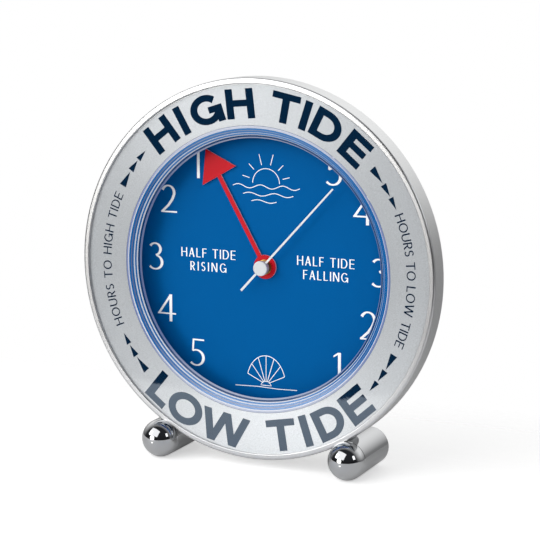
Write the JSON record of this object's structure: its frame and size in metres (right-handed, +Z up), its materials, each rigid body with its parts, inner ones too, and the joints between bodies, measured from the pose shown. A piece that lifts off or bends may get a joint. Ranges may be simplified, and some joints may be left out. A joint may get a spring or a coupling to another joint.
{
  "type": "tide clock",
  "caption": "Round table tide clock in a shallow metal case on two rod feet, with a red tide hand, a second hand, a stepped crystal and a geared quartz movement.",
  "frame": {"origin": "on the floor, under the middle of the whole box", "axes": "+X right as seen from the front, +Y from the dial to the back, +Z up; the dial faces -Y"},
  "size_m": [0.1666, 0.0444, 0.1703],
  "materials": {
    "case_aluminium": "satin turned",
    "face_silver": "fine grained silver with dark blue print",
    "crystal": "clear, polished",
    "dial_blue": "satin blue with white print",
    "plate_steel": "plain sheet",
    "black_moulding": "fine texture",
    "pale_moulding": "fine texture",
    "chrome": "polished",
    "zinc_screw": "zinc plated",
    "movement_moulding": "fine texture",
    "bridge_moulding": "natural",
    "hand_red": "satin red",
    "hand_silver": "bright",
    "brass": "plain",
    "wheel_moulding": "natural",
    "magnet": "dark sintered",
    "stator_steel": "annealed",
    "copper": "enamelled copper wire",
    "board": "laminate",
    "crystal_can": "bright can",
    "cell": "plain wrapper",
    "contact": "nickel plated"
  },
  "bodies": {
    "clock": {"backing_plate": "plate_steel", "battery": "cell", "case_ring": "case_aluminium", "circuit_board": "board", "coil": "copper", "coil_bobbin": "bridge_moulding", "contact_negative": "contact", "contact_positive": "contact", "cover_screws": "zinc_screw", "dial": "dial_blue", "dial_frame": "pale_moulding", "face_ring": "face_silver", "foot_left": "chrome", "foot_right": "chrome", "foot_screws": "zinc_screw", "lens": "crystal", "movement_case": "movement_moulding", "movement_lid": "movement_moulding", "movement_screws": "zinc_screw", "quartz_crystal": "crystal_can", "rear_cover": "black_moulding", "stator": "stator_steel", "train_bridge": "bridge_moulding"},
    "tide_train": {"tide_hand": "hand_red", "tide_wheel": "brass"},
    "minute_train": {"minute_wheel": "wheel_moulding"},
    "cannon_train": {"cannon_pinion": "brass"},
    "setting_train": {"setting_arbor": "brass", "set_knob": "movement_moulding"},
    "second_train": {"second_hand": "hand_silver", "second_wheel": "wheel_moulding"},
    "intermediate_train": {"intermediate_wheel": "wheel_moulding"},
    "rotor_train": {"rotor": "magnet"},
    "third_train": {"third_wheel": "wheel_moulding"},
    "centre_train": {"centre_wheel": "wheel_moulding"}
  },
  "joints": [
    {"name": "tide_hand_turn", "type": "hinge", "parent": "clock", "child": "tide_train", "pos_m": [0, 0.0002, 0.087], "axis": [0, 1, 0], "continuous": true},
    {"name": "minute_wheel_turn", "type": "hinge", "parent": "clock", "child": "minute_train", "pos_m": [-0.00916, 0.007, 0.09229], "axis": [0, 1, 0], "continuous": true},
    {"name": "cannon_pinion_turn", "type": "hinge", "parent": "clock", "child": "cannon_train", "pos_m": [0, 0.007, 0.087], "axis": [0, 1, 0], "continuous": true},
    {"name": "setting_knob_turn", "type": "hinge", "parent": "clock", "child": "setting_train", "pos_m": [-0.02019, 0.007, 0.09504], "axis": [0, 1, 0], "continuous": true},
    {"name": "second_hand_turn", "type": "hinge", "parent": "clock", "child": "second_train", "pos_m": [0, -0.0038, 0.087], "axis": [0, 1, 0], "continuous": true},
    {"name": "intermediate_turn", "type": "hinge", "parent": "clock", "child": "intermediate_train", "pos_m": [0.01185, 0.0137, 0.08269], "axis": [0, 1, 0], "continuous": true},
    {"name": "rotor_turn", "type": "hinge", "parent": "clock", "child": "rotor_train", "pos_m": [0.01899, 0.0108, 0.08395], "axis": [0, 1, 0], "continuous": true},
    {"name": "third_wheel_turn", "type": "hinge", "parent": "clock", "child": "third_train", "pos_m": [0.00626, 0.0112, 0.09784], "axis": [0, 1, 0], "continuous": true},
    {"name": "centre_wheel_turn", "type": "hinge", "parent": "clock", "child": "centre_train", "pos_m": [0, 0.0097, 0.087], "axis": [0, 1, 0], "continuous": true}
  ],
  "couplings": [
    {"joint": "minute_wheel_turn", "follows": "tide_hand_turn", "ratio": -3.6364},
    {"joint": "cannon_pinion_turn", "follows": "tide_hand_turn", "ratio": 12.424},
    {"joint": "setting_knob_turn", "follows": "tide_hand_turn", "ratio": 9.3182},
    {"joint": "intermediate_turn", "follows": "second_hand_turn", "ratio": -6},
    {"joint": "rotor_turn", "follows": "second_hand_turn", "ratio": 30},
    {"joint": "third_wheel_turn", "follows": "second_hand_turn", "ratio": -0.125},
    {"joint": "centre_wheel_turn", "follows": "second_hand_turn", "ratio": 0.016667}
  ]
}
